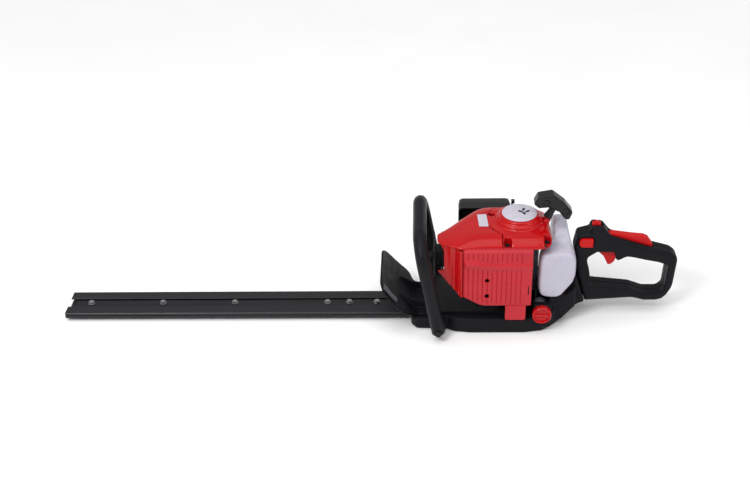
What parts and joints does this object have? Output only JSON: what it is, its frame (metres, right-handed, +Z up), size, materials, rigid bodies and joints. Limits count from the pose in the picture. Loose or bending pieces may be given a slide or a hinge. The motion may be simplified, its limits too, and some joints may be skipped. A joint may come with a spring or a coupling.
{
  "type": "hedge trimmer",
  "caption": "Petrol hedge trimmer with a covered double-sided blade, front loop handle, curved hand guard, recoil starter on top, side fuel tank and closed rear grip.",
  "frame": {"origin": "on the base frame's flat underside, straight below the crankshaft", "axes": "+X towards the rear grip, -X along the blade, +Y towards the air cleaner, +Z up"},
  "size_m": [1.155, 0.24, 0.2545],
  "materials": {
    "red_gloss": "glossy moulded red",
    "black_plastic": "matt moulded black",
    "handle_black": "satin black",
    "scabbard_black": "matt extruded",
    "tank_plastic": "milky, translucent",
    "steel": "ground steel",
    "black_alloy": "cast, coated black",
    "alloy": "as cast",
    "black_metal": "black coated",
    "badge_silver": "metallic silver",
    "filter_foam": "oiled foam",
    "rubber": "matt",
    "ceramic": "glazed"
  },
  "bodies": {
    "chassis": {"base_frame": "black_plastic", "guide_bar": "steel", "blade_bolt_1": "steel", "blade_bolt_2": "steel", "blade_bolt_3": "steel", "blade_bolt_4": "steel", "blade_bolt_5": "steel", "blade_bolt_6": "steel", "gear_case": "black_alloy", "blade_clamp": "alloy", "crankcase": "alloy", "cylinder": "black_alloy", "spark_plug": "ceramic", "plug_cap": "rubber", "muffler": "steel", "ignition_coil": "black_metal", "recoil_housing": "red_gloss", "starter_screw_1": "black_metal", "starter_screw_2": "black_metal", "starter_screw_3": "black_metal", "starter_badge": "badge_silver", "recoil_spring": "steel", "top_cover": "red_gloss", "side_cover": "red_gloss", "front_deflector": "red_gloss", "carburettor": "alloy", "air_filter_case": "black_plastic", "air_filter_element": "filter_foam", "fuel_tank": "tank_plastic", "front_handle": "handle_black", "handle_bolt_near": "black_metal", "handle_bolt_far": "black_metal", "hand_guard": "black_plastic", "rear_handle_near": "black_plastic", "rear_handle_far": "black_plastic"},
    "scabbard": {"scabbard": "scabbard_black"},
    "lower_blade": {"lower_blade": "steel"},
    "upper_blade": {"upper_blade": "steel"},
    "drive_gear": {"drive_gear": "steel"},
    "clutch_drum": {"clutch_drum": "steel"},
    "crank": {"crankshaft": "steel", "clutch_shaft": "steel", "clutch_hub": "alloy", "flywheel": "alloy"},
    "piston": {"piston": "alloy"},
    "connecting_rod": {"connecting_rod": "steel"},
    "rope_reel": {"rope_reel": "black_plastic"},
    "starter_grip": {"starter_grip": "black_plastic"},
    "throttle_trigger": {"throttle_trigger": "red_gloss"},
    "throttle_arm": {"throttle_arm": "steel"},
    "lockout_lever": {"lockout_lever": "red_gloss"},
    "stop_switch": {"stop_switch": "red_gloss"},
    "throttle_lock": {"throttle_lock": "red_gloss"},
    "fuel_cap": {"fuel_cap": "red_gloss"},
    "choke_lever": {"choke_lever": "black_plastic"},
    "air_cover": {"air_filter_cover": "black_plastic"},
    "air_cleaner_knob": {"air_cleaner_knob": "black_plastic"}
  },
  "joints": [
    {"name": "scabbard_slide", "type": "slide", "parent": "chassis", "child": "scabbard", "axis": [-1, 0, 0], "range_m": [0, 0.66]},
    {"name": "lower_blade_stroke", "type": "slide", "parent": "chassis", "child": "lower_blade", "axis": [1, 0, 0], "range_m": [-0.008, 0.008]},
    {"name": "upper_blade_stroke", "type": "slide", "parent": "chassis", "child": "upper_blade", "axis": [1, 0, 0], "range_m": [-0.008, 0.008]},
    {"name": "drive_gear_spin", "type": "hinge", "parent": "chassis", "child": "drive_gear", "pos_m": [-0.06, 0, 0.019], "axis": [0, 0, 1], "continuous": true},
    {"name": "clutch_drum_spin", "type": "hinge", "parent": "chassis", "child": "clutch_drum", "pos_m": [0, 0, 0.0365], "axis": [0, 0, 1], "continuous": true},
    {"name": "crank_spin", "type": "hinge", "parent": "chassis", "child": "crank", "pos_m": [0, 0, 0.122], "axis": [0, 0, 1], "continuous": true},
    {"name": "piston_stroke", "type": "slide", "parent": "chassis", "child": "piston", "axis": [1, 0, 0], "range_m": [0, 0.028]},
    {"name": "rod_swing", "type": "hinge", "parent": "piston", "child": "connecting_rod", "pos_m": [-0.084, 0, 0.122], "axis": [0, 0, 1], "range_deg": [-11.5, 11.5]},
    {"name": "starter_pull", "type": "slide", "parent": "chassis", "child": "starter_grip", "axis": [0.454, 0, 0.891], "range_m": [0, 0.3], "stiffness_N_per_m": 30, "springref_m": -0.1},
    {"name": "rope_reel_spin", "type": "hinge", "parent": "chassis", "child": "rope_reel", "pos_m": [0, 0, 0.1947], "axis": [0, 0, -1], "range_deg": [0, 675]},
    {"name": "trigger_squeeze", "type": "hinge", "parent": "chassis", "child": "throttle_trigger", "pos_m": [0.148, 0, 0.15], "axis": [0, -1, 0], "range_deg": [0, 16], "stiffness_Nm_per_rad": 0.4, "springref_deg": -14.32},
    {"name": "throttle_arm_turn", "type": "hinge", "parent": "chassis", "child": "throttle_arm", "pos_m": [-0.068, 0.0623, 0.122], "axis": [0, 0, -1], "range_deg": [0, 64]},
    {"name": "lockout_press", "type": "hinge", "parent": "chassis", "child": "lockout_lever", "pos_m": [0.169, 0, 0.164], "axis": [0, 1, 0], "range_deg": [0, 9], "stiffness_Nm_per_rad": 0.4, "springref_deg": -14.32},
    {"name": "stop_switch_slide", "type": "slide", "parent": "chassis", "child": "stop_switch", "axis": [1, 0, 0], "range_m": [0, 0.004]},
    {"name": "throttle_lock_press", "type": "slide", "parent": "chassis", "child": "throttle_lock", "axis": [0, 1, 0], "range_m": [0, 0.0025], "stiffness_N_per_m": 300, "springref_m": -0.002},
    {"name": "fuel_cap_lift", "type": "slide", "parent": "chassis", "child": "fuel_cap", "axis": [0, -1, 0], "range_m": [0, 0.04]},
    {"name": "choke_turn", "type": "hinge", "parent": "chassis", "child": "choke_lever", "pos_m": [-0.009, 0.0805, 0.155], "axis": [-1, 0, 0], "range_deg": [0, 60]},
    {"name": "air_cover_lift", "type": "slide", "parent": "chassis", "child": "air_cover", "axis": [0, 1, 0], "range_m": [0, 0.06]},
    {"name": "air_knob_turn", "type": "hinge", "parent": "air_cover", "child": "air_cleaner_knob", "pos_m": [-0.05875, 0.0865, 0.1615], "axis": [0, 1, 0], "range_deg": [0, 360]}
  ],
  "couplings": [
    {"joint": "upper_blade_stroke", "follows": "lower_blade_stroke", "ratio": -1},
    {"joint": "clutch_drum_spin", "follows": "drive_gear_spin", "ratio": -3},
    {"joint": "rope_reel_spin", "follows": "starter_pull", "rad_per_m": 39},
    {"joint": "throttle_arm_turn", "follows": "trigger_squeeze", "ratio": 4}
  ]
}
